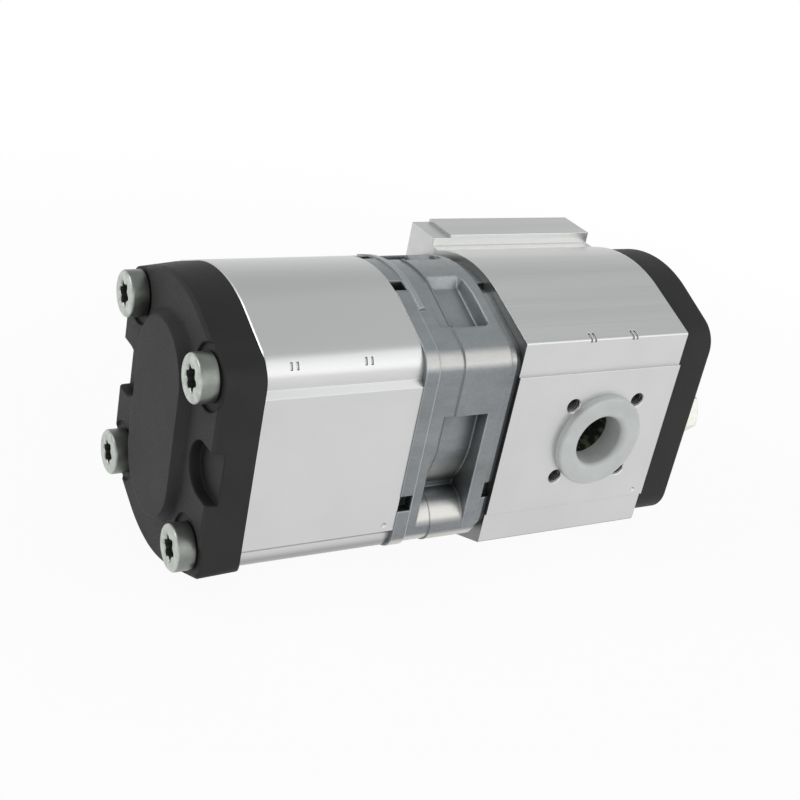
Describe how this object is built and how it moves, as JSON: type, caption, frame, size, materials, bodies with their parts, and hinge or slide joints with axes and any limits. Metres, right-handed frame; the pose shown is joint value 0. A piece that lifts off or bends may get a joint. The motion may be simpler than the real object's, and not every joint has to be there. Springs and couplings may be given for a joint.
{
  "type": "tandem hydraulic gear pump",
  "caption": "Two-stage external gear pump: aluminium bodies on one drive line, cast flange between them, dark end covers, long through screws, plugged ports and a tapered shaft end.",
  "frame": {"origin": "centre of the mounting face on the drive shaft axis", "axes": "+X along the drive shaft out of the mounting face, +Z from the drive axis to the idler axis, -Y towards the suction port"},
  "size_m": [0.2352, 0.0884, 0.1017],
  "materials": {
    "cover_dark": "dark anodised casting, fine grain",
    "body_aluminium": "brushed extrusion with milled pads",
    "flange_aluminium": "die-cast, satin",
    "screw_zinc": "zinc plated",
    "steel_ground": "ground and case hardened",
    "steel_zinc": "bright zinc",
    "bearing_aluminium": "machined",
    "bush_bronze": "lined bush",
    "seal_rubber": "moulded rubber",
    "backup_plastic": "moulded",
    "plug_plastic": "translucent white, soft",
    "spring_steel": "phosphated spring steel",
    "dowel_steel": "ground"
  },
  "bodies": {
    "housing": {"front_cover": "cover_dark", "shaft_seal": "seal_rubber", "seal_retaining_ring": "spring_steel", "front_body": "body_aluminium", "intermediate_flange": "flange_aluminium", "rear_body": "body_aluminium", "rear_cover": "cover_dark", "through_screws": "screw_zinc", "front_stage_front_bearing_block": "bearing_aluminium", "front_stage_front_bushes": "bush_bronze", "front_stage_front_axial_seal": "seal_rubber", "front_stage_front_backup_ring": "backup_plastic", "front_stage_rear_bearing_block": "bearing_aluminium", "front_stage_rear_bushes": "bush_bronze", "front_stage_rear_axial_seal": "seal_rubber", "front_stage_rear_backup_ring": "backup_plastic", "rear_stage_front_bearing_block": "bearing_aluminium", "rear_stage_front_bushes": "bush_bronze", "rear_stage_front_axial_seal": "seal_rubber", "rear_stage_front_backup_ring": "backup_plastic", "rear_stage_rear_bearing_block": "bearing_aluminium", "rear_stage_rear_bushes": "bush_bronze", "rear_stage_rear_axial_seal": "seal_rubber", "rear_stage_rear_backup_ring": "backup_plastic", "front_cover_ring_seal": "seal_rubber", "front_cover_dowels": "dowel_steel", "front_body_rear_ring_seal": "seal_rubber", "front_body_rear_dowels": "dowel_steel", "rear_body_front_ring_seal": "seal_rubber", "rear_body_front_dowels": "dowel_steel", "rear_cover_ring_seal": "seal_rubber", "rear_cover_dowels": "dowel_steel"},
    "drive_shaft": {"front_drive_gear": "steel_ground", "shaft_key": "steel_ground", "shaft_washer": "steel_zinc", "shaft_nut": "steel_zinc"},
    "front_idler": {"front_idler_gear": "steel_ground"},
    "coupling": {"coupling_disc": "steel_ground"},
    "rear_drive": {"rear_drive_gear": "steel_ground"},
    "rear_idler": {"rear_idler_gear": "steel_ground"},
    "suction_plug": {"suction_port_plug": "plug_plastic"},
    "front_pressure_plug": {"front_pressure_port_plug": "plug_plastic"},
    "rear_pressure_plug": {"rear_pressure_port_plug": "plug_plastic"}
  },
  "joints": [
    {"name": "drive_shaft_spin", "type": "hinge", "parent": "housing", "child": "drive_shaft", "pos_m": [-0.0495, 0, 0], "axis": [1, 0, 0], "continuous": true},
    {"name": "front_idler_spin", "type": "hinge", "parent": "housing", "child": "front_idler", "pos_m": [-0.0495, 0, 0.0345], "axis": [1, 0, 0], "continuous": true},
    {"name": "coupling_spin", "type": "hinge", "parent": "housing", "child": "coupling", "pos_m": [-0.098, 0, 0], "axis": [1, 0, 0], "continuous": true},
    {"name": "rear_drive_spin", "type": "hinge", "parent": "housing", "child": "rear_drive", "pos_m": [-0.15, 0, 0], "axis": [1, 0, 0], "continuous": true},
    {"name": "rear_idler_spin", "type": "hinge", "parent": "housing", "child": "rear_idler", "pos_m": [-0.15, 0, 0.0345], "axis": [1, 0, 0], "continuous": true},
    {"name": "suction_plug_pull", "type": "slide", "parent": "housing", "child": "suction_plug", "axis": [0, -1, 0], "range_m": [0, 0.03]},
    {"name": "front_pressure_plug_pull", "type": "slide", "parent": "housing", "child": "front_pressure_plug", "axis": [0, 1, 0], "range_m": [0, 0.025]},
    {"name": "rear_pressure_plug_pull", "type": "slide", "parent": "housing", "child": "rear_pressure_plug", "axis": [0, 1, 0], "range_m": [0, 0.025]}
  ],
  "couplings": [
    {"joint": "front_idler_spin", "follows": "drive_shaft_spin", "ratio": -1},
    {"joint": "coupling_spin", "follows": "drive_shaft_spin", "ratio": 1},
    {"joint": "rear_drive_spin", "follows": "drive_shaft_spin", "ratio": 1},
    {"joint": "rear_idler_spin", "follows": "drive_shaft_spin", "ratio": -1}
  ]
}
